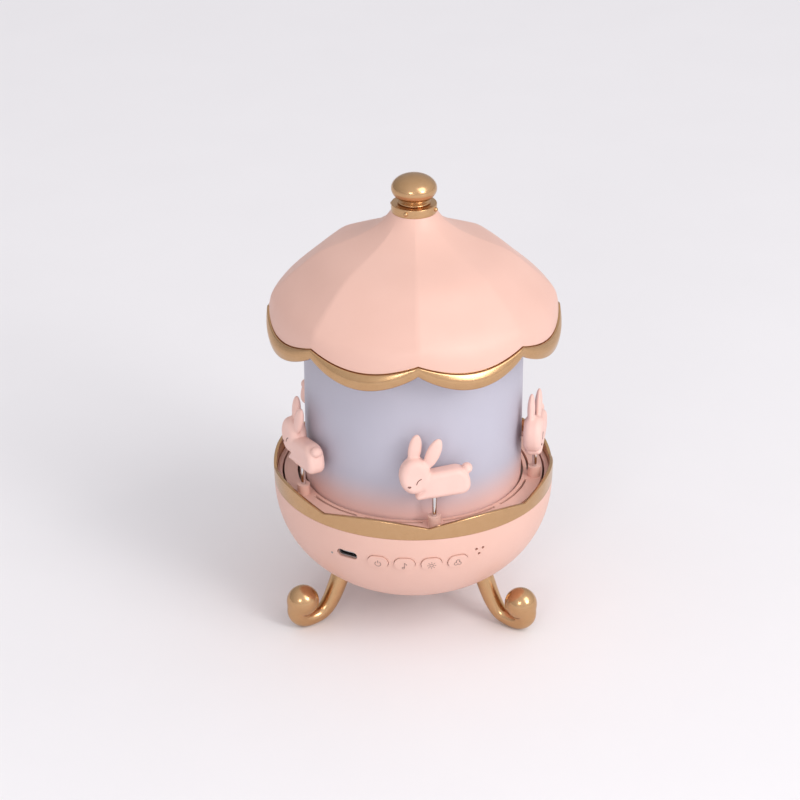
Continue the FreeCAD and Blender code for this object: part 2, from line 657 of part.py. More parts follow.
def make_speaker():
    floor = size("bowl_bottom")
    frame = revolved("speaker_frame", [
        (size("speaker_radius") - 2.5, floor), (size("speaker_radius"), floor),
        (size("speaker_radius"), floor + 2.0), (size("speaker_magnet_radius") + 2.0, floor + 7.0),
        (size("speaker_magnet_radius") - 1.0, floor + 7.0),
        (size("speaker_magnet_radius") - 1.0, floor + 5.6),
        (size("speaker_magnet_radius") + 1.4, floor + 5.6), (size("speaker_radius") - 2.5, floor + 1.6)])
    finish(frame, "speaker_frame")
    cone = revolved("speaker_cone", [
        (0, floor + 4.2), (5.0, floor + 4.2), (size("speaker_radius") - 2.8, floor + 0.4),
        (size("speaker_radius") - 2.8, floor + 0.9), (5.2, floor + 4.8), (0, floor + 4.8)])
    finish(cone, "speaker_cone")
    magnet = revolved("speaker_magnet", [
        (0, floor + 5.0), (size("speaker_magnet_radius") - 1.2, floor + 5.0),
        (size("speaker_magnet_radius") - 1.2, floor + 7.0), (size("speaker_magnet_radius"), floor + 7.0),
        (size("speaker_magnet_radius"), floor + 11.5), (0, floor + 11.5)])
    finish(magnet, "speaker_magnet")


# ---- controls ----

def make_buttons():
    """Four caps with a flange behind the wall and a stem that ends just before its switch."""
    level = number("button_level")
    width = number("button_width")
    height = number("button_height")
    crown = bowl_body(number("button_proud"), number("bowl_top"), number("bowl_bottom"))
    back = number("button_back")
    wider = number("button_flange")
    for name, azimuth in zip(BUTTONS, button_azimuths()):
        cap = radial_prism(azimuth, level, width, height, back, number("cutter_far")).common(crown)
        flange = radial_prism(azimuth, level, width + wider, height + wider, back,
                              back + number("button_flange_depth"))
        off_middle = math.radians(azimuth - number("button_middle"))
        stem_end = (number("switch_front") + number("switch_gap")) / math.cos(off_middle)
        stem = radial_cylinder(azimuth, level, number("button_stem_radius"), stem_end, back)
        computed("button_" + name, cap.multiFuse([flange, stem]).removeSplitter())


def make_port():
    """The charging socket, a metal sleeve round a tongue, on its small board."""
    azimuth = number("port_azimuth")
    level = number("port_level")
    width = number("socket_width")
    height = number("socket_height")
    near = number("socket_near")
    far = number("socket_far")
    wall = 2 * number("socket_wall")
    sleeve = radial_prism(azimuth, level, width, height, near, far)
    sleeve = sleeve.cut(radial_prism(azimuth, level, width - wall, height - wall, near + 1, far + 1))
    tongue = radial_prism(azimuth, level, number("tongue_width"), number("tongue_height"),
                          near + 1, far - 1)
    computed("charging_socket", sleeve.fuse(tongue))
    board = Part.makeBox(8.0, 10.0, 1.0, FreeCAD.Vector(near - 3.5, -5.0, level - height / 2 - 1.0))
    computed("port_board", board.rotate(FreeCAD.Vector(), UP, azimuth - 90))


def make_lights():
    """The status light's pipe behind its hole and the microphone behind the sound holes."""
    lens = radial_cylinder(number("light_azimuth"), number("light_level"),
                           number("light_radius") - 0.03, number("light_near"), number("light_far"))
    computed("status_light_pipe", lens)
    capsule = radial_cylinder(number("sound_azimuth"), number("sound_level"),
                              number("microphone_radius"), number("microphone_near"),
                              number("microphone_far"))
    computed("microphone", capsule)


# ---- turntable ----

def make_turntable():
    """The turning deck with its slots and rod bosses, and the hub that carries it."""
    under = size("deck_top") - size("deck_thickness")
    deck = revolved("deck_ring", [
        (size("deck_inner"), under), (size("deck_outer"), under),
        (size("deck_outer"), size("deck_top")), (size("deck_inner"), size("deck_top"))])
    shape = deck.Shape.copy()
    step = 360.0 / RABBITS
    slots = []
    bosses = []
    sockets = []
    half_width = number("slot_width") / 2
    for index in range(RABBITS):
        turn = number("rotor_turn") + index * step
        for side in (-1, 1):
            middle = turn + step / 2 + side * number("slot_offset")
            slots.append(ring_slot(number("slot_ring"), half_width, middle, number("slot_span")))
        at = polar(number("rotor_ring"), turn, float(under))
        bosses.append(Part.makeCylinder(number("boss_radius"), number("boss_top") - float(under), at))
        low = polar(number("rotor_ring"), turn, number("rod_bottom"))
        sockets.append(Part.makeCylinder(number("rod_radius") + number("rod_fit"), 10, low))
    shape = shape.cut(Part.makeCompound(slots)).multiFuse(bosses).removeSplitter()
    computed("turntable_deck", shape.cut(Part.makeCompound(sockets)))
    hub = revolved("turntable_hub", [
        (size("hub_bore"), size("hub_bottom")), (size("hub_radius"), size("hub_bottom")),
        (size("hub_radius"), size("web_bottom")), (size("web_outer"), size("web_bottom")),
        (size("web_outer"), under), (size("web_wall_inner"), under),
        (size("web_wall_inner"), size("web_top")), (size("hub_bore"), size("web_top"))])
    drilled(hub, size("pilot_radius"), number("hub_screw_ring"), 30, 3)
    finish(hub, "turntable_hub")


def ring_slot(ring, half_width, middle, span):
    """A cutter for one curved slot through the deck."""
    low = number("deck_top") - 10
    band = Part.makeCylinder(ring + half_width, 20, FreeCAD.Vector(0, 0, low), UP, span)
    band = band.cut(Part.makeCylinder(ring - half_width, 20, FreeCAD.Vector(0, 0, low)))
    return band.rotate(FreeCAD.Vector(), UP, middle - span / 2 - 90)


def make_rabbit(index):
    """A leaping rabbit, head along +X before it is turned, on a polished rod."""
    turn = number("rotor_turn") + index * 360.0 / RABBITS
    name = "rabbit_%d" % (index + 1)
    pieces = [ellipsoid("%s_%s" % (name, piece), *shape) for piece, shape in RABBIT.items()]
    whole = fused(name + "_whole", pieces)
    below = 3.0
    room = size("rod_top") - size("rabbit_base")
    bore = cylinder(name + "_bore", size("rod_radius") + size("rod_fit"), room + below, (0, 0, -below))
    rabbit = cut(name + "_cut", whole, bore)
    at = polar(number("rotor_ring"), turn, 0)
    place(rabbit, (at.x, at.y, size("rabbit_base")), turn + 180)
    finish(rabbit, name)
    rod = cylinder("rod_%d" % (index + 1), size("rod_radius"), size("rod_top") - size("rod_bottom"),
                   (at.x, at.y, size("rod_bottom")))
    finish(rod, "rabbit_rod_%d" % (index + 1))


# ---- lamp and canopy ----

def make_shade():
    inner = size("shade_radius") - size("shade_wall")
    spigot = inner - size("spigot_fit")
    spigot_inner = spigot - size("spigot_wall")
    post = size("post_radius") + size("post_fit")
    base = revolved("shade_base", [
        (post, size("shade_base_bottom")), (size("shade_radius"), size("shade_base_bottom")),
        (size("shade_radius"), size("shade_bottom")), (spigot, size("shade_bottom")),
        (spigot, size("shade_spigot_top")), (spigot_inner, size("shade_spigot_top")),
        (spigot_inner, size("shade_bottom")), (post + 4.0, size("shade_bottom")),
        (post + 4.0, size("shade_spigot_top")), (post, size("shade_spigot_top"))])
    finish(base, "shade_base")
    shade = revolved("frosted_shade", [
        (inner, size("shade_bottom")), (size("shade_radius"), size("shade_bottom")),
        (size("shade_radius"), size("shade_top")), (inner, size("shade_top"))])
    finish(shade, "frosted_shade")
    board = revolved("lamp_board", [
        (post, size("shade_spigot_top")), (inner - 0.6, size("shade_spigot_top")),
        (inner - 0.6, size("shade_spigot_top") + size("board_thickness")),
        (post, size("shade_spigot_top") + size("board_thickness"))])
    finish(board, "lamp_board")
    lamps = []
    for index in range(12):
        azimuth = index * 30.0
        at = polar(number("lamp_ring"), azimuth, number("shade_spigot_top") + number("board_thickness"))
        lamps.append(box("lamp%d" % index, size("lamp_side"), size("lamp_side"), size("lamp_height"),
                         tuple(at), azimuth))
    finish(group("lamps_group", lamps), "lamps")
    ceiling = revolved("canopy_ceiling", [
        (size("tie_rod_radius") + size("tie_rod_fit"), size("ceiling_bottom")),
        (spigot_inner, size("ceiling_bottom")),
        (spigot_inner, size("ceiling_bottom") - size("ceiling_lip")),
        (spigot, size("ceiling_bottom") - size("ceiling_lip")), (spigot, size("ceiling_bottom")),
        (size("ceiling_radius"), size("ceiling_bottom")), (size("ceiling_radius"), size("ceiling_top")),
        (size("tie_rod_radius") + size("tie_rod_fit"), size("ceiling_top"))])
    finish(ceiling, "canopy_ceiling")


def ease(value):
    """Smooth step from 0 to 1."""
    value = min(max(value, 0.0), 1.0)
    return value * value * (3 - 2 * value)


def canopy_outline(share):
    """Mean outer radius and height of the canopy, from its lower edge at 0 to its top at 1."""
    top = number("canopy_top")
    curve = Part.BSplineCurve()
    curve.interpolate([FreeCAD.Vector(radius, 0, top - drop) for radius, drop in CANOPY_KNOTS])
    first = curve.FirstParameter
    point = curve.value(first + share * (curve.LastParameter - first))
    return point.x, point.z


def edge_height(angle, cusp, middle, power):
    """Height of a scalloped edge at an angle from a cusp, in degrees."""
    wave = abs(math.sin(math.radians(angle) * LOBES / 2)) ** power
    return cusp + (middle - cusp) * wave


def canopy_section(angle, inset):
    """Points of the canopy's skin at an angle from a ridge, from its edge to its top."""
    half = 180.0 / LOBES
    facet = math.cos(math.radians(half)) / math.cos(math.radians(angle - half))
    mean = (1 + math.cos(math.radians(half))) / 2
    edge = edge_height(angle, number("canopy_edge_cusp"), number("canopy_edge_middle"), 0.95)
    mean_edge = number("canopy_top") - CANOPY_KNOTS[0][1]
    points = []
    count = 12
    for step in range(count + 1):
        share = step / float(count)
        radius, height = canopy_outline(share)
        flat = number("canopy_flatness") * ease((share - 0.02) / 0.3) * ease((1 - share) / 0.15)
        radius *= 1 + flat * (facet / mean - 1)
        height += (edge - mean_edge) * (1 - ease(share / 0.22))
        points.append(FreeCAD.Vector(radius - inset * (0.35 + 0.65 * (1 - share)), 0,
                                     height - inset * share * 0.9))
    return points


def sector_ring(sections, twist):
    """Sew one lobe's skin, lofted through closed sections, and its turned copies to a solid."""
    wires = []
    for angle, chains in sections:
        edges = []
        for chain in chains:
            if len(chain) == 2:
                edges.append(Part.makeLine(chain[0], chain[1]))
            else:
                curve = Part.BSplineCurve()
                curve.interpolate(chain)
                edges.append(curve.toShape())
        wire = Part.Wire(edges)
        wire.rotate(FreeCAD.Vector(), UP, angle)
        wires.append(wire)
    lobe = Part.makeLoft(wires, True, False)
    step = 360.0 / LOBES
    skins = []
    for face in lobe.Faces:
        middle = face.CenterOfMass
        angle = math.degrees(math.atan2(middle.y, middle.x))
        if 0.5 < angle < step - 0.5:
            skins.append(face)
    faces = []
    for index in range(LOBES):
        for skin in skins:
            copy = skin.copy()
            copy.rotate(FreeCAD.Vector(), UP, twist - 90 + index * step)
            faces.append(copy)
    shell = Part.makeCompound(faces)
    shell.sewShape(0.02)
    solid = Part.Solid(shell.Shells[0] if shell.Shells else shell)
    if solid.Volume < 0:
        solid.reverse()
    return solid


def lobe_angles():
    count = 10
    return [index * 360.0 / LOBES / count for index in range(count + 1)]


def make_canopy():
    twist = number("canopy_turn")
    wall = number("canopy_wall")
    sections = []
    for angle in lobe_angles():
        outer = canopy_section(angle, 0.0)
        inner = canopy_section(angle, wall)
        bore = number("tie_rod_radius") + number("tie_rod_fit")
        top = outer[-1]
        low = inner[-1]
        chains = [outer, [top, FreeCAD.Vector(bore, 0, top.z)],
                  [FreeCAD.Vector(bore, 0, top.z), FreeCAD.Vector(bore, 0, low.z)],
                  [FreeCAD.Vector(bore, 0, low.z), low], list(reversed(inner)), [inner[0], outer[0]]]
        sections.append((angle, chains))
    computed("canopy_shell", sector_ring(sections, twist))
    sections = []
    for angle in lobe_angles():
        edge = canopy_section(angle, 0.0)[0]
        step = number("trim_step")
        low = edge_height(angle, number("trim_cusp"), number("trim_middle"), 0.88)
        wave = abs(math.sin(math.radians(angle) * LOBES / 2)) ** 0.88
        bulge = number("trim_radius_cusp")
        bulge += (number("trim_radius_middle") - number("trim_radius_cusp")) * wave
        inner = edge.x - number("trim_thickness")
        middle = (edge.z + low) / 2
        outer = [FreeCAD.Vector(edge.x + step, 0, edge.z), FreeCAD.Vector(bulge + 0.2, 0, middle),
                 FreeCAD.Vector(bulge, 0, low + 0.6), FreeCAD.Vector(bulge - 0.9, 0, low)]
        chains = [outer, [outer[-1], FreeCAD.Vector(inner, 0, low)],
                  [FreeCAD.Vector(inner, 0, low), FreeCAD.Vector(inner, 0, edge.z)],
                  [FreeCAD.Vector(inner, 0, edge.z), outer[0]]]
        sections.append((angle, chains))
    computed("canopy_trim", sector_ring(sections, twist))


def make_top():
    bore = size("tie_rod_radius") + size("tie_rod_fit")
    collar_top = size("canopy_top") + size("collar_height")
    collar = revolved("collar", [
        (bore, size("canopy_top")), (size("collar_radius"), size("canopy_top")),
        (size("collar_radius"), collar_top), (bore, collar_top)])
    finish(collar, "collar")
    studs = []
    for index in range(4):
        azimuth = number("stud_turn") + index * 90
        level = number("canopy_top") + number("collar_height") * 0.5
        ball = Part.makeSphere(number("stud_radius"), polar(number("collar_radius"), azimuth, level))
        plug = Part.makeCylinder(30, 10, FreeCAD.Vector(0, 0, level - 5))
        plug = plug.cut(Part.makeCylinder(number("collar_radius"), 10, FreeCAD.Vector(0, 0, level - 5)))
        studs.append(ball.common(plug))
    computed("collar_studs", Part.makeCompound(studs))
    make_knob(float(collar_top))
    rod = cylinder("tie_rod_bar", size("tie_rod_radius"), size("tie_rod_top") - size("tie_rod_bottom"),
                   (0, 0, size("tie_rod_bottom")))
    finish(rod, "tie_rod")
    plug = revolved("post_plug", [
        (bore, size("tie_rod_bottom")), (size("post_bore") - 0.03, size("tie_rod_bottom")),
        (size("post_bore") - 0.03, size("ceiling_bottom")), (bore, size("ceiling_bottom"))])
    finish(plug, "post_plug")


def make_knob(base):
    """The ball knob: a bead, a waist and a flattened ball, turned about Z."""
    ball = number("knob_radius")
    half = number("knob_half_height")
    centre = base + number("knob_height") - half
    outline = [FreeCAD.Vector(radius, 0, base + rise) for radius, rise in KNOB_NECK]
    for degrees in range(-50, 91, 10):
        angle = math.radians(degrees)
        outline.append(FreeCAD.Vector(ball * math.cos(angle), 0, centre + half * math.sin(angle)))
    side = Part.BSplineCurve()
    side.interpolate(outline)
    axis_low = FreeCAD.Vector(0, 0, base)
    face = Part.Face(Part.Wire([side.toShape(), Part.makeLine(outline[-1], axis_low),
                                Part.makeLine(axis_low, outline[0])]))
    knob = face.revolve(FreeCAD.Vector(), UP, 360)
    bore = Part.makeCylinder(number("tie_rod_radius") + number("tie_rod_fit"),
                             number("tie_rod_top") - base + 0.5, axis_low)
    computed("finial", knob.cut(bore))


def check_and_export():
    doc.recompute()
    for thing in doc.Objects:
        if "Invalid" in thing.State or "Error" in thing.State:
            raise RuntimeError("%s failed: %s" % (thing.Label, thing.State))
    os.makedirs("parts", exist_ok=True)
    for thing in parts:
        shape = thing.Shape
        if shape.isNull() or not shape.isValid() or not shape.Solids:
            raise RuntimeError("%s has no valid solid" % thing.Label)
        shape.exportStep("parts/%s.step" % thing.Label)
        bounds = shape.BoundBox
        print("%-20s %6.1f mm3  x %.1f..%.1f  y %.1f..%.1f  z %.1f..%.1f" % (
            thing.Label, shape.Volume, bounds.XMin, bounds.XMax, bounds.YMin, bounds.YMax,
            bounds.ZMin, bounds.ZMax))


fill_sheet()
make_bowl()
make_rim()
make_base_cover()
make_feet()
make_chassis()
make_drive()
make_boards()
make_speaker()
make_buttons()
make_port()
make_lights()
make_turntable()
for rabbit_index in range(RABBITS):
    make_rabbit(rabbit_index)
make_shade()
make_canopy()
make_top()
check_and_export()
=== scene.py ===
import json
import math

import bmesh
import bpy
import numpy as np
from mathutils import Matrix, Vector
from mathutils.bvhtree import BVHTree


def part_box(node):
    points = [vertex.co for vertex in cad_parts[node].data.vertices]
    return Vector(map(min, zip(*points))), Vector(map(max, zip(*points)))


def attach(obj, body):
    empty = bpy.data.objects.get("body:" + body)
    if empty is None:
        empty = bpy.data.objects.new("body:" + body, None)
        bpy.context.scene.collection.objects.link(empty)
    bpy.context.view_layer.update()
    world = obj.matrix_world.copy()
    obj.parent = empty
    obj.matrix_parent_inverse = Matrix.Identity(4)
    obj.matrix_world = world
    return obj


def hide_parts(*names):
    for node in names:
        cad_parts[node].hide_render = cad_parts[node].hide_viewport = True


# Looks of a carousel music box. Shapes are worked out in millimetres in the frame's axes:
# +Z up, front towards -Y. An azimuth is counted from the front (-Y) towards the right (+X).

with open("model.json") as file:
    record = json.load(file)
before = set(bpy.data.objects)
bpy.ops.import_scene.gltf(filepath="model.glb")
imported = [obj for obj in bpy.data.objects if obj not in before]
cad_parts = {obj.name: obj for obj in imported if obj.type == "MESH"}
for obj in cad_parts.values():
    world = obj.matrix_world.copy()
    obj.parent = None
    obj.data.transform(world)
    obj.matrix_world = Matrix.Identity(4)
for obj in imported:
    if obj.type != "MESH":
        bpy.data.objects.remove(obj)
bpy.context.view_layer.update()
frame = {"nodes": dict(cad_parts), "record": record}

MM = 0.001
LOBES = 8
BUTTON_NAMES = ("power", "mode", "light", "turn")
UP = Vector((0, 0, 1))


# ---- finishes ----

def noise(tree, size_mm, detail):
    """Solid noise in object space, with features of about a given size."""
    place = tree.nodes.new("ShaderNodeTexCoord")
    texture = tree.nodes.new("ShaderNodeTexNoise")
    texture.inputs["Scale"].default_value = 1.0 / (size_mm * MM)
    texture.inputs["Detail"].default_value = detail
    tree.links.new(place.outputs["Object"], texture.inputs["Vector"])
    return texture.outputs["Fac"]


def spread(tree, value, low, high):
    """Stretch the middle of a noise over a range."""
    ramp = tree.nodes.new("ShaderNodeMapRange")
    ramp.inputs["From Min"].default_value = 0.3
    ramp.inputs["From Max"].default_value = 0.7
    ramp.inputs["To Min"].default_value = low
    ramp.inputs["To Max"].default_value = high
    tree.links.new(value, ramp.inputs["Value"])
    return ramp.outputs["Result"]


def finish(name, colour, other, mottle_mm, rough, grain_mm, relief_mm, metallic=0.0, **constant):
    """A finish that drifts between two colours, with grain in its roughness and its relief."""
    material = bpy.data.materials.new(name)
    material.use_nodes = True
    tree = material.node_tree
    shader = tree.nodes["Principled BSDF"]
    shader.inputs["Metallic"].default_value = metallic
    for socket, value in constant.items():
        shader.inputs[socket.replace("_", " ")].default_value = value
    mix = tree.nodes.new("ShaderNodeMix")
    mix.data_type = "RGBA"
    mix.inputs[6].default_value = (*colour, 1)
    mix.inputs[7].default_value = (*other, 1)
    tree.links.new(spread(tree, noise(tree, mottle_mm, 3), 0, 1), mix.inputs["Factor"])
    tree.links.new(mix.outputs[2], shader.inputs["Base Color"])
    tree.links.new(spread(tree, noise(tree, grain_mm * 4, 4), *rough), shader.inputs["Roughness"])
    bump = tree.nodes.new("ShaderNodeBump")
    bump.inputs["Distance"].default_value = relief_mm * MM
    tree.links.new(noise(tree, grain_mm, 2), bump.inputs["Height"])
    tree.links.new(bump.outputs["Normal"], shader.inputs["Normal"])
    return material


FINISHES = {
    "blush_shell": finish("blush_shell", (0.75, 0.465, 0.385), (0.77, 0.485, 0.405), 18, (0.40, 0.48),
                          0.35, 0.010),
    "blush_rabbit": finish("blush_rabbit", (0.83, 0.54, 0.475), (0.85, 0.565, 0.50), 9, (0.45, 0.55),
                           0.3, 0.010),
    "antique_gold": finish("antique_gold", (0.60, 0.37, 0.195), (0.57, 0.345, 0.175), 2.5, (0.19, 0.27),
                           0.15, 0.003, metallic=0.97),
    "frosted_lamp": finish("frosted_lamp", (0.475, 0.465, 0.55), (0.50, 0.49, 0.575), 25, (0.45, 0.6),
                           0.2, 0.008),
    "polished_steel": finish("polished_steel", (0.72, 0.71, 0.72), (0.66, 0.65, 0.66), 3,
                             (0.08, 0.16), 0.2, 0.002, metallic=1.0),
    "plain_steel": finish("plain_steel", (0.56, 0.56, 0.57), (0.48, 0.48, 0.49), 2, (0.3, 0.45),
                          0.15, 0.004, metallic=1.0),
    "green_board": finish("green_board", (0.02, 0.16, 0.06), (0.03, 0.2, 0.08), 3, (0.25, 0.4),
                          0.2, 0.01),
    "white_board": finish("white_board", (0.78, 0.78, 0.76), (0.84, 0.84, 0.82), 4, (0.3, 0.4),
                          0.2, 0.01),
    "dark_parts": finish("dark_parts", (0.02, 0.02, 0.022), (0.03, 0.03, 0.032), 2, (0.4, 0.55),
                         0.2, 0.01),
    "lamp_yellow": finish("lamp_yellow", (0.85, 0.72, 0.25), (0.9, 0.78, 0.32), 1, (0.3, 0.4),
                          0.2, 0.005),
    "battery_wrap": finish("battery_wrap", (0.12, 0.24, 0.45), (0.15, 0.28, 0.5), 8, (0.2, 0.3),
                           0.8, 0.02),
    "clear_lens": finish("clear_lens", (0.82, 0.86, 0.86), (0.86, 0.9, 0.9), 1, (0.05, 0.1),
                         0.2, 0.002, Transmission_Weight=0.7, IOR=1.49),
    "white_acetal": finish("white_acetal", (0.82, 0.82, 0.79), (0.86, 0.86, 0.83), 4, (0.35, 0.45),
                           0.3, 0.006),
    "cream_internal": finish("cream_internal", (0.72, 0.68, 0.60), (0.76, 0.72, 0.64), 12,
                             (0.45, 0.6), 0.4, 0.02),
}
INK = finish("icon_ink", (0.27, 0.17, 0.15), (0.33, 0.21, 0.18), 1, (0.5, 0.6), 0.2, 0.002)
FACE_INK = finish("face_ink", (0.16, 0.07, 0.05), (0.2, 0.09, 0.07), 1, (0.4, 0.5), 0.2, 0.002)


def paint_deck_bounce(material, low_mm, high_mm, colour):
    """Painted bounce light: tint a finish towards a colour below a level, standing in for light bounced
    up from the deck.
    """
    tree = material.node_tree
    shader = tree.nodes["Principled BSDF"]
    plain = shader.inputs["Base Color"].links[0].from_socket
    place = tree.nodes.new("ShaderNodeTexCoord")
    axes = tree.nodes.new("ShaderNodeSeparateXYZ")
    tree.links.new(place.outputs["Object"], axes.inputs["Vector"])
    share = tree.nodes.new("ShaderNodeMapRange")
    share.interpolation_type = "SMOOTHSTEP"
    share.inputs["From Min"].default_value = low_mm * MM
    share.inputs["From Max"].default_value = high_mm * MM
    tree.links.new(axes.outputs["Z"], share.inputs["Value"])
    mix = tree.nodes.new("ShaderNodeMix")
    mix.data_type = "RGBA"
    mix.inputs[6].default_value = (*colour, 1)
    tree.links.new(share.outputs["Result"], mix.inputs["Factor"])
    tree.links.new(plain, mix.inputs[7])
    tree.links.new(mix.outputs[2], shader.inputs["Base Color"])


def dress_frame():
    """Give every CAD node the finish of its slot in the record."""
    for row in frame["record"]["subparts"]:
        node = frame["nodes"][row["node"]]
        node.data.materials.clear()
        node.data.materials.append(FINISHES[row["material_slot"]])


# ---- meshes ----

def low_mm(node):
    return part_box(node)[0] / MM


def high_mm(node):
    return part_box(node)[1] / MM


def piece(name, points, faces, slot, body, replaced=(), material=None):
    """A smooth closed mesh, in millimetres, that rides on a body."""
    mesh = bpy.data.meshes.new(name)
    corners = [[int(corner) for corner in face] for face in faces]
    mesh.from_pydata((np.asarray(points) * MM).tolist(), [], corners)
    shape = bmesh.new()
    shape.from_mesh(mesh)
    bmesh.ops.remove_doubles(shape, verts=shape.verts, dist=1e-7)
    bmesh.ops.recalc_face_normals(shape, faces=shape.faces)
    shape.to_mesh(mesh)
    shape.free()
    mesh.shade_smooth()
    mesh.set_sharp_from_angle(angle=math.radians(50))
    mesh.materials.append(material or FINISHES[slot])
    thing = bpy.data.objects.new(name, mesh)
    bpy.context.scene.collection.objects.link(thing)
    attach(thing, body)
    if replaced:
        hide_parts(*replaced)
    return thing


def joined(parts):
    """Several (points, faces) as one."""
    points = []
    faces = []
    for some_points, some_faces in parts:
        faces.extend([[corner + len(points) for corner in face] for face in some_faces])
        points.extend(some_points)
    return points, faces


def ring_mesh(loops, azimuths):
    """A closed ring through one loop of (radius, height) points at each azimuth, in degrees."""
    loops = np.asarray(loops, float)
    turn = np.radians(azimuths)[:, None]
    radius = loops[:, :, 0]
    points = np.stack([radius * np.sin(turn), -radius * np.cos(turn), loops[:, :, 1]], -1)
    around, along = radius.shape
    first = np.arange(around)[:, None] * along + np.arange(along)[None, :]
    second = np.roll(first, -1, 0)
    faces = np.stack([first, second, np.roll(second, -1, 1), np.roll(first, -1, 1)], -1)
    return points.reshape(-1, 3), faces.reshape(-1, 4)


def smooth_line(points, count):
    """Points along the natural cubic spline through given ones, evenly spread over its chords."""
    points = np.asarray(points, float)
    chord = np.concatenate([[0], np.cumsum(np.linalg.norm(np.diff(points, axis=0), axis=1))])
    gaps = np.diff(chord)
    size = len(points)
    system = np.eye(size)
    target = np.zeros((size, points.shape[1]))
    for row in range(1, size - 1):
        before, after = gaps[row - 1], gaps[row]
        system[row, row - 1:row + 2] = before, 2 * (before + after), after
        slope = (points[row + 1] - points[row]) / after - (points[row] - points[row - 1]) / before
        target[row] = 6 * slope
    bend = np.linalg.solve(system, target)
    at = np.linspace(0, chord[-1], count)
    span = np.clip(np.searchsorted(chord, at, side="right") - 1, 0, size - 2)
    gap = gaps[span][:, None]
    back = (chord[span + 1] - at)[:, None]
    ahead = (at - chord[span])[:, None]
    return (bend[span] * back ** 3 + bend[span + 1] * ahead ** 3) / (6 * gap) \
        + (points[span] / gap - bend[span] * gap / 6) * back \
        + (points[span + 1] / gap - bend[span + 1] * gap / 6) * ahead


def rounded(corners, steps=6):
    """A closed outline whose corners (x, y, reach) are rounded off over a reach to each side."""
    outline = []
    flat = [np.array(corner[:2], float) for corner in corners]
    for index, (corner, (_, _, reach)) in enumerate(zip(flat, corners)):
        before = flat[index - 1] - corner
        after = flat[(index + 1) % len(flat)] - corner
        start = corner + before / np.linalg.norm(before) * reach
        end = corner + after / np.linalg.norm(after) * reach
        for share in np.linspace(0, 1, steps):
            keep = 1 - share
            outline.append(keep * keep * start + 2 * keep * share * corner + share * share * end)
    return outline


def lathe(outline, segments=240):
    return ring_mesh([outline] * segments, np.arange(segments) * 360.0 / segments)


def surface_net(field, low, step):
    """The closed mesh where a sampled field changes sign: one point in each cell that it crosses."""
    cells = tuple(np.array(field.shape) - 1)
    total = np.zeros(cells + (3,))
    count = np.zeros(cells)
    quads = []
    for axis in range(3):
        near = np.take(field, range(field.shape[axis] - 1), axis)
        far = np.take(field, range(1, field.shape[axis]), axis)
        edge = np.argwhere((near < 0) != (far < 0))
        near = near[tuple(edge.T)]
        crossing = edge.astype(float)
        crossing[:, axis] += near / (near - far[tuple(edge.T)])
        corners = []
        for shift in ((-1, -1), (0, -1), (0, 0), (-1, 0)):
            cell = edge.copy()
            cell[:, (axis + 1) % 3] += shift[0]
            cell[:, (axis + 2) % 3] += shift[1]
            np.add.at(total, tuple(cell.T), crossing)
            np.add.at(count, tuple(cell.T), 1)
            corners.append(cell)
        quads.append(np.stack(corners, 1))
    used = count > 0
    number = np.cumsum(used).reshape(cells) - 1
    points = np.asarray(low, float) + step * total[used] / count[used][:, None]
    quads = np.concatenate(quads)
    return points, number[quads[..., 0], quads[..., 1], quads[..., 2]]


def grid(low, high, step):
    axes = [np.arange(a, b + step, step) for a, b in zip(low, high)]
    return np.stack(np.meshgrid(*axes, indexing="ij"), -1)


def limb(points, start, end, start_radius, end_radius):
    """Distance to a tapered limb between two centres."""
    start = np.asarray(start, float)
    axis = np.asarray(end, float) - start
    share = np.clip(((points - start) @ axis) / (axis @ axis), 0, 1)
    gap = np.linalg.norm(points - start - share[..., None] * axis, axis=-1)
    return gap - start_radius - share * (end_radius - start_radius)


def oval(points, centre, radii, lean=0.0):
    """About the distance to an ellipse or ellipsoid whose last axis leans towards its first."""
    points = points - np.asarray(centre, float)
    turn = math.radians(lean)
    across = points[..., 0] * math.cos(turn) - points[..., -1] * math.sin(turn)
    along = points[..., 0] * math.sin(turn) + points[..., -1] * math.cos(turn)
    local = np.stack([across, *np.moveaxis(points[..., 1:-1], -1, 0), along], -1)
    reach = np.linalg.norm(local / radii, axis=-1)
    slope = np.linalg.norm(local / np.square(radii), axis=-1)
    return reach * (reach - 1) / np.maximum(slope, 1e-6)


def melt(first, second, reach):
    """The union of two distances, smoothed where they meet."""
    share = np.clip(0.5 + 0.5 * (second - first) / reach, 0, 1)
    return second + (first - second) * share - reach * share * (1 - share)


def puffed(outline, across, half_thickness, edge):
    """A flat outline's distance given a thickness and rounded edges."""
    side = outline + edge
    face = np.abs(across) - (half_thickness - edge)
    inside = np.minimum(np.maximum(side, face), 0)
    return inside + np.hypot(np.maximum(side, 0), np.maximum(face, 0)) - edge


def stroke(line, radius, sides=8):
    """A thin round bar along a line of points, in millimetres."""
    line = [Vector(point) for point in line]
    points = []
    faces = []
    for index, at in enumerate(line):
        heading = (line[min(index + 1, len(line) - 1)] - line[max(index - 1, 0)]).normalized()
        across = heading.orthogonal().normalized() if index == 0 else \
            (across - heading * across.dot(heading)).normalized()
        over = heading.cross(across)
        for side in range(sides):
            turn = 2 * math.pi * side / sides
            points.append(at + (across * math.cos(turn) + over * math.sin(turn)) * radius)
    for index in range(len(line) - 1):
        for side in range(sides):
            low = index * sides
            following = (side + 1) % sides
            faces.append([low + side, low + following, low + sides + following, low + sides + side])
    for low, shift in ((0, -1), ((len(line) - 1) * sides, 1)):
        tip = line[0] if shift < 0 else line[-1]
        beside = line[1] if shift < 0 else line[-2]
        points.append(tip + (tip - beside).normalized() * radius * 0.7)
        for side in range(sides):
            faces.append([low + side, low + (side + 1) % sides, len(points) - 1])
    return points, faces


# ---- canopy ----

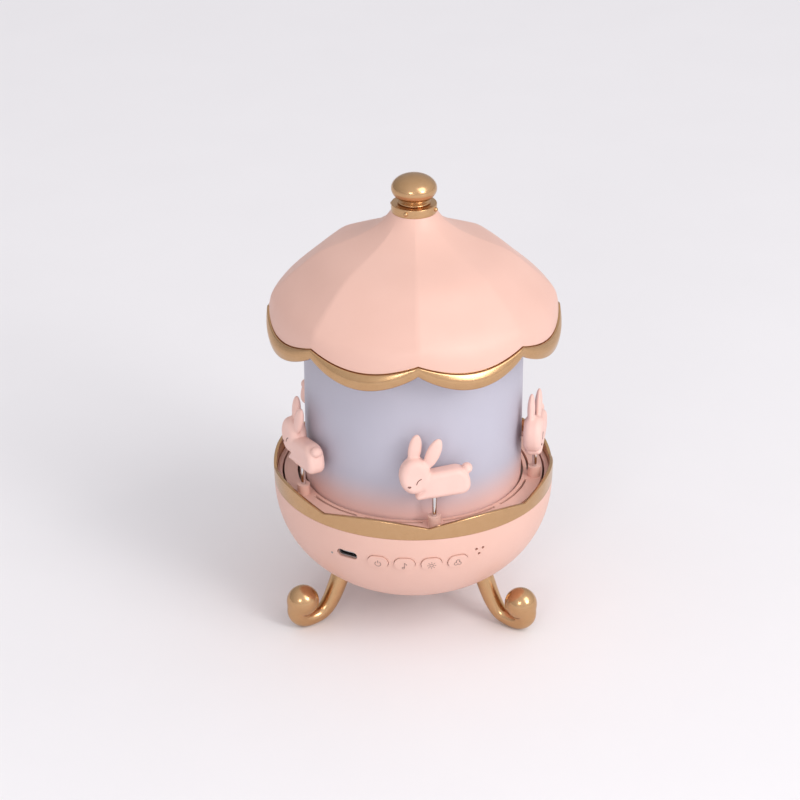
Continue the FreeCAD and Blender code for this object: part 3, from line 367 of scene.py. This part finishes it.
CANOPY_TURN = 1.4
CANOPY_TOP = high_mm("canopy_shell").z
CANOPY_KNOTS = [(60.1, 45.5), (57.8, 36.9), (53.3, 31.1), (47.3, 25.6), (39.0, 18.7), (30.0, 14.3),
                (21.6, 10.5), (15.6, 6.8), (11.4, 2.9), (9.4, 0.0)]
CANOPY_LINE = smooth_line([(radius, CANOPY_TOP - drop) for radius, drop in CANOPY_KNOTS], 44)
EDGE_CUSP, EDGE_MIDDLE = CANOPY_TOP - 41.6, CANOPY_TOP - 46.3
TRIM_CUSP, TRIM_MIDDLE = CANOPY_TOP - 46.4, CANOPY_TOP - 53.8
# the trim is widest between the cusps
TRIM_RADIUS, TRIM_SWELL = 60.95, 1.05
CANOPY_FLATNESS = 0.6
LOBE_STEPS = 26
TIE_ROD_BORE = 1.56


def lobe_samples():
    """Angles from the nearest ridge and the azimuths that they lie at, all the way round."""
    lobe = 360.0 / LOBES
    angles = np.arange(LOBE_STEPS) * lobe / LOBE_STEPS
    return [(angle, CANOPY_TURN + index * lobe + angle) for index in range(LOBES) for angle in angles]


def wave(angle, power):
    return abs(math.sin(math.radians(angle) * LOBES / 2)) ** power


def ease(value):
    value = np.clip(value, 0, 1)
    return value * value * (3 - 2 * value)


def canopy_line(angle, inset):
    """The canopy's skin from its lower edge to its top, at an angle from a ridge."""
    half = math.pi / LOBES
    facet = math.cos(half) / math.cos(math.radians(angle) - half)
    mean = (1 + math.cos(half)) / 2
    radius, height = CANOPY_LINE.T
    share = np.linspace(0, 1, len(CANOPY_LINE))
    flat = CANOPY_FLATNESS * ease((share - 0.02) / 0.3) * ease((1 - share) / 0.15)
    edge = EDGE_CUSP + (EDGE_MIDDLE - EDGE_CUSP) * wave(angle, 0.95)
    radius = radius * (1 + flat * (facet / mean - 1)) - inset * (0.35 + 0.65 * (1 - share))
    height = height + (edge - height[0]) * (1 - ease(share / 0.22)) - inset * share * 0.9
    return np.stack([radius, height], 1)


def make_canopy():
    wall = 2.0
    groove = 0.45
    trim_depth = 2.6
    step_out, step_in = 0.75, 0.5
    skins = []
    trims = []
    azimuths = []
    for angle, azimuth in lobe_samples():
        outer = canopy_line(angle, 0.0)
        inner = canopy_line(angle, wall)
        top = [(TIE_ROD_BORE, outer[-1][1]), (TIE_ROD_BORE, inner[-1][1])]
        skins.append(np.concatenate([outer, top, inner[::-1]]))
        azimuths.append(azimuth)
        edge = outer[0]
        low = TRIM_CUSP + (TRIM_MIDDLE - TRIM_CUSP) * wave(angle, 0.88)
        bulge = TRIM_RADIUS + TRIM_SWELL * wave(angle, 0.88)
        middle = (edge[1] + low) / 2
        back = edge[0] - trim_depth
        shelf = edge[1] - groove
        trims.append(rounded([
            (back, edge[1] - 0.1, 0.1), (back, low + 0.3, 0.5), (bulge - 0.5, low, 1.0),
            (bulge + 0.3, middle, 1.4), (edge[0] + step_out, shelf, 0.5),
            (edge[0] - step_in, shelf, 0.1), (edge[0] - step_in, edge[1] - 0.05, 0.1)]))
    piece("canopy_skin", *ring_mesh(skins, azimuths), "blush_shell", "root", ["canopy_shell"])
    piece("canopy_gold_edge", *ring_mesh(trims, azimuths), "antique_gold", "root", ["canopy_trim"])


# ---- bowl rim, ledge, shade and knob ----

def make_rim():
    """The gold band: each lobe's top edge is an arc, lowest where two lobes meet."""
    base = high_mm("bowl_shell").z
    low, high = 5.1, 8.3
    turn = 28.5
    lobe = 360.0 / LOBES
    outer, crest, inner = 59.6, 59.75, 58.2
    rise = high - low
    half_chord = crest * math.sin(math.radians(lobe / 2))
    arc = (half_chord ** 2 + rise ** 2) / (2 * rise)
    loops = []
    azimuths = []
    steps = 32
    for index in range(LOBES * steps):
        angle = (index % steps) * lobe / steps - lobe / 2
        across = crest * math.sin(math.radians(angle))
        top = base + high - arc + math.sqrt(arc ** 2 - across ** 2)
        azimuths.append(turn + angle + index // steps * lobe)
        loops.append(rounded([(inner, base, 0.05), (outer, base, 0.35), (crest, top, 0.55),
                              (inner, top, 0.45)]))
    piece("rim_band", *ring_mesh(loops, azimuths), "antique_gold", "root", ["bowl_rim"])


def make_turned():
    """Pieces turned about the axis: the ledge, the lamp shade, the collar and the ball knob."""
    ledge_bore = 56.05
    low, high = low_mm("deck_surround"), high_mm("deck_surround")
    ledge = [(ledge_bore, low.z, 0.1), (high.x, low.z, 0.1), (high.x, high.z, 0.1),
             (ledge_bore, high.z, 0.35)]
    piece("inner_ledge", *lathe(rounded(ledge)), "blush_shell", "root", ["deck_surround"])
    low, high = low_mm("frosted_shade"), high_mm("frosted_shade")
    shade_wall = 2.0
    inner = high.x - shade_wall
    shade = [(inner, low.z, 0.2), (high.x, low.z, 0.4), (high.x, high.z, 0.4), (inner, high.z, 0.2)]
    piece("lamp_shade", *lathe(rounded(shade)), "frosted_lamp", "root", ["frosted_shade"])
    low, high = low_mm("collar"), high_mm("collar")
    collar = [(TIE_ROD_BORE, low.z, 0.05), (high.x, low.z, 0.2), (high.x, high.z, 0.45),
              (TIE_ROD_BORE, high.z, 0.05)]
    piece("knob_collar", *lathe(rounded(collar)), "antique_gold", "root", ["collar"])
    make_knob()


def make_knob():
    base = low_mm("finial").z
    top = high_mm("finial").z
    ball = high_mm("finial").x
    half_height = 5.9
    middle = top - half_height
    neck = smooth_line([(6.3, 0.0), (6.8, 0.6), (6.2, 1.2), (5.9, 1.55)], 16)
    neck[:, 1] += base
    turns = np.radians(np.linspace(-50, 90, 64))
    globe = np.stack([ball * np.cos(turns), middle + half_height * np.sin(turns)], 1)
    globe[-1, 0] = 0.0
    inside = [(0.0, middle), (TIE_ROD_BORE, middle), (TIE_ROD_BORE, base)]
    piece("ball_knob", *lathe(np.concatenate([neck, globe, inside])), "antique_gold", "root", ["finial"])


# ---- feet ----

FOOT_AZIMUTHS = {"left": -59.7, "right": 57.0, "rear": 178.6}
# a foot's tube: distance from the axis, height and radius, from inside the bowl to the curl
FOOT_SPINE = [(34.3, 24.2, 4.0), (36.0, 20.6, 4.0), (41.3, 9.2, 3.7), (45.5, 4.6, 3.4),
              (50.0, 3.4, 3.4), (54.4, 3.9, 3.7), (57.5, 7.3, 4.1), (57.0, 10.8, 4.7)]
BOWL_HALF_WIDTH, BOWL_DEPTH, BOWL_POWER = 59.5, 48.8, 2.167


def bowl_side(points, sunk):
    """About the distance outside the bowl's side, sunk into it by a little."""
    radius = np.hypot(points[..., 0], points[..., 1]) / (BOWL_HALF_WIDTH - sunk)
    drop = (high_mm("bowl_shell").z - points[..., 2]) / (BOWL_DEPTH - sunk)
    reach = (radius ** BOWL_POWER + drop ** BOWL_POWER) ** (1 / BOWL_POWER)
    return (reach - 1) * BOWL_DEPTH


def foot_mesh():
    """A scroll foot with its leg in the XZ plane, X outwards: a bent leg that curls up into a ball."""
    step = 0.3
    low, high = (29.0, -7.8, -0.9), (63.0, 7.8, 27.0)
    points = grid(low, high, step)
    spine = smooth_line(FOOT_SPINE, 56)
    far = 100.0
    field = np.full(points.shape[:-1], far)
    for start, end in zip(spine, spine[1:]):
        field = np.minimum(field, limb(points, (start[0], 0, start[1]), (end[0], 0, end[1]),
                                       start[2], end[2]))
    ball = oval(points, (54.8, 0, 12.7), (7.0, 6.6, 7.0))
    curl_end = oval(points, (51.1, 0, 10.0), (2.9, 3.2, 2.9))
    field = melt(field, melt(ball, curl_end, 0.8), 0.35)
    below_ground = -points[..., 2]
    in_bowl = -bowl_side(points, 0.8)
    return surface_net(np.maximum(np.maximum(field, below_ground), in_bowl), low, step)


def make_feet():
    points, faces = foot_mesh()
    for side, azimuth in FOOT_AZIMUTHS.items():
        turn = math.radians(azimuth - 90)
        spun = np.stack([points[:, 0] * math.cos(turn) - points[:, 1] * math.sin(turn),
                         points[:, 0] * math.sin(turn) + points[:, 1] * math.cos(turn),
                         points[:, 2]], 1)
        piece("scroll_foot_" + side, spun, faces, "antique_gold", "root", ["foot_" + side])


# ---- rabbits ----

def rabbit_mesh():
    """A leaping rabbit: X towards its head, Y away from the axis, Z up from its belly at the rod."""
    step = 0.35
    low, high = (-18.0, -6.0, -2.5), (17.0, 6.0, 31.0)
    points = grid(low, high, step)
    flat = points[..., [0, 2]]
    body = melt(limb(flat, (-8.3, 7.0), (0.2, 6.0), 6.1, 5.9), oval(flat, (-11.3, 4.8), (3.2, 3.4)), 1.5)
    body = melt(body, limb(flat, (2.0, 3.2), (6.6, 1.0), 3.1, 1.45), 1.0)
    head = oval(flat, (8.3, 10.4), (6.4, 7.9))
    field = melt(puffed(body, points[..., 1], 3.85, 2.5), puffed(head, points[..., 1], 3.9, 3.0), 0.9)
    front_ear = oval(points, (8.1, -1.1, 21.5), (2.75, 1.6, 6.8), -8)
    rear_ear = oval(points, (0.9, 1.2, 20.2), (2.95, 1.6, 7.0), -22)
    field = melt(melt(field, front_ear, 1.2), rear_ear, 1.2)
    return surface_net(melt(field, oval(points, (-13.3, 0, 11.9), (2.3, 2.4, 2.3)), 0.5), low, step)


def on_skin(tree, origin, heading):
    """Where a ray meets a mesh, in millimetres."""
    hit = tree.ray_cast(Vector(origin) * MM, Vector(heading))[0]
    return hit / MM


def make_rabbits():
    points, faces = rabbit_mesh()
    belly_below_rod_top = 4.8
    for index in range(1, 6):
        rod = "rabbit_rod_%d" % index
        at = (low_mm(rod) + high_mm(rod)) / 2
        at.z = high_mm(rod).z - belly_below_rod_top
        outward = Vector((at.x, at.y, 0)).normalized()
        ahead = UP.cross(outward) * -1
        axes = np.array([ahead, outward, UP])
        name = "rabbit_%d" % index
        thing = piece("leaping_" + name, points @ axes + np.array(at), faces, "blush_rabbit",
                      "turntable", [name])
        make_face(thing, index, at, outward, ahead)


def make_face(rabbit, index, at, outward, ahead):
    """A closed eye and a small nose, drawn on the cheek that looks outwards."""
    tree = BVHTree.FromObject(rabbit, bpy.context.evaluated_depsgraph_get())

    def drawn(line, radius):
        start = [at + ahead * s + UP * z + outward * 20 for s, z in line]
        return stroke([on_skin(tree, point, -outward) for point in start], radius)

    eye = drawn(smooth_line([(8.1, 7.8), (7.5, 9.3), (6.1, 10.3)], 9), 0.2)
    nose = drawn([(11.5, 7.05), (11.0, 6.9), (10.5, 6.95)], 0.36)
    tip = drawn([(11.05, 6.85), (11.0, 6.55)], 0.3)
    piece("rabbit_face_%d" % index, *joined([eye, nose, tip]), "dark_parts", "turntable",
          material=FACE_INK)


# ---- marks on the buttons ----

def arc_line(centre, radius, start, end, count=14):
    turns = np.radians(np.linspace(start, end, count))
    return [(centre[0] + radius * math.cos(turn), centre[1] + radius * math.sin(turn)) for turn in turns]


def mark_lines(name):
    """The strokes of one button's mark, across and up from the middle of its face."""
    if name == "power":
        return [arc_line((0, 0), 1.05, 125, 415, 20), [(0, 1.45), (0, 0.35)]]
    if name == "mode":
        note = arc_line((-0.45, -0.95), 0.4, 0, 360, 12)
        return [note, [(-0.05, -0.95), (-0.05, 1.2)], [(-0.05, 1.2), (0.45, 0.85), (0.75, 0.25)]]
    if name == "light":
        rays = [[(math.cos(turn) * reach, math.sin(turn) * reach) for reach in (1.05, 1.5)]
                for turn in np.radians(np.arange(0, 360, 45))]
        return [arc_line((0, 0), 0.62, 0, 360, 16)] + rays
    blades = []
    for turn in (90, 210, 330):
        middle = (0.75 * math.cos(math.radians(turn)), 0.75 * math.sin(math.radians(turn)))
        blades.append(arc_line(middle, 0.62, turn - 150, turn + 130, 12))
    return blades


def make_marks():
    scale = 1.2
    below_middle = 0.7
    ray_start = 20
    for name in BUTTON_NAMES:
        node = "button_" + name
        tree = BVHTree.FromObject(frame["nodes"][node], bpy.context.evaluated_depsgraph_get())
        middle = (low_mm(node) + high_mm(node)) / 2
        outward = Vector((middle.x, middle.y, 0)).normalized()
        right = UP.cross(outward)
        strokes = []
        for line in mark_lines(name):
            spots = [on_skin(tree, middle + outward * ray_start + right * a * scale
                             + UP * (b * scale - below_middle), -outward) for a, b in line]
            strokes.append(stroke(spots, 0.16, 6))
        piece("mark_" + name, *joined(strokes), "dark_parts", node, material=INK)


# ---- stage ----

def area_light(name, place, target, size, power, colour=(1, 1, 1)):
    light = bpy.data.lights.new(name, "AREA")
    light.size = size
    light.energy = power
    light.color = colour
    thing = bpy.data.objects.new(name, light)
    thing.location = place
    thing.rotation_euler = (Vector(target) - Vector(place)).to_track_quat("-Z", "Y").to_euler()
    bpy.context.scene.collection.objects.link(thing)


def make_world():
    """A pale studio, brighter towards the front right than behind and to the left."""
    world = bpy.data.worlds.new("studio")
    world.use_nodes = True
    tree = world.node_tree
    tree.nodes["Background"].inputs["Color"].default_value = (0.985, 0.975, 1.0, 1)
    place = tree.nodes.new("ShaderNodeTexCoord")
    along = tree.nodes.new("ShaderNodeVectorMath")
    along.operation = "DOT_PRODUCT"
    along.inputs[1].default_value = (0.50, -0.62, 0.60)
    tree.links.new(place.outputs["Generated"], along.inputs[0])
    strength = tree.nodes.new("ShaderNodeMapRange")
    strength.inputs["From Min"].default_value = -1.0
    strength.inputs["To Min"].default_value = 0.32
    strength.inputs["To Max"].default_value = 1.0
    tree.links.new(along.outputs["Value"], strength.inputs["Value"])
    tree.links.new(strength.outputs["Result"], tree.nodes["Background"].inputs["Strength"])
    bpy.context.scene.world = world


def make_stage():
    mesh = bpy.data.meshes.new("floor")
    reach = 6.0
    mesh.from_pydata([(-reach, -reach, 0), (reach, -reach, 0), (reach, reach, 0), (-reach, reach, 0)],
                     [], [(0, 1, 2, 3)])
    mesh.materials.append(finish("floor_paper", (0.86, 0.845, 0.865), (0.87, 0.855, 0.875), 60,
                                 (0.7, 0.8), 2, 0.02))
    floor = bpy.data.objects.new("floor", mesh)
    bpy.context.scene.collection.objects.link(floor)
    make_world()
    middle = (0, 0, 0.09)
    area_light("key", (2.4, -2.0, 3.0), middle, 2.2, 48.0, (1.0, 0.985, 0.97))
    area_light("softbox_right", (0.80, -0.80, 0.62), middle, 0.30, 2.8, (1.0, 0.985, 0.96))
    area_light("softbox_left", (-0.34, -1.15, 0.56), middle, 0.26, 1.7, (1.0, 0.99, 0.98))
    camera = bpy.data.cameras.new("camera")
    camera.sensor_width = 36
    camera.lens = 118.27
    camera.clip_end = 50
    thing = bpy.data.objects.new("camera", camera)
    thing.location = (-0.005718, -0.99226, 0.59903)
    thing.rotation_euler = (math.radians(63.07), 0, 0)
    bpy.context.scene.collection.objects.link(thing)
    bpy.context.scene.camera = thing
    bpy.context.scene.view_settings.view_transform = "Standard"


make_stage()
# painted light: the lamp shade is tinted pink near its foot, standing in for light bounced up from the
# deck
paint_deck_bounce(FINISHES["frosted_lamp"], low_mm("frosted_shade").z, low_mm("frosted_shade").z + 20,
           (0.86, 0.58, 0.53))
dress_frame()
make_canopy()
make_rim()
make_turned()
make_feet()
make_rabbits()
make_marks()
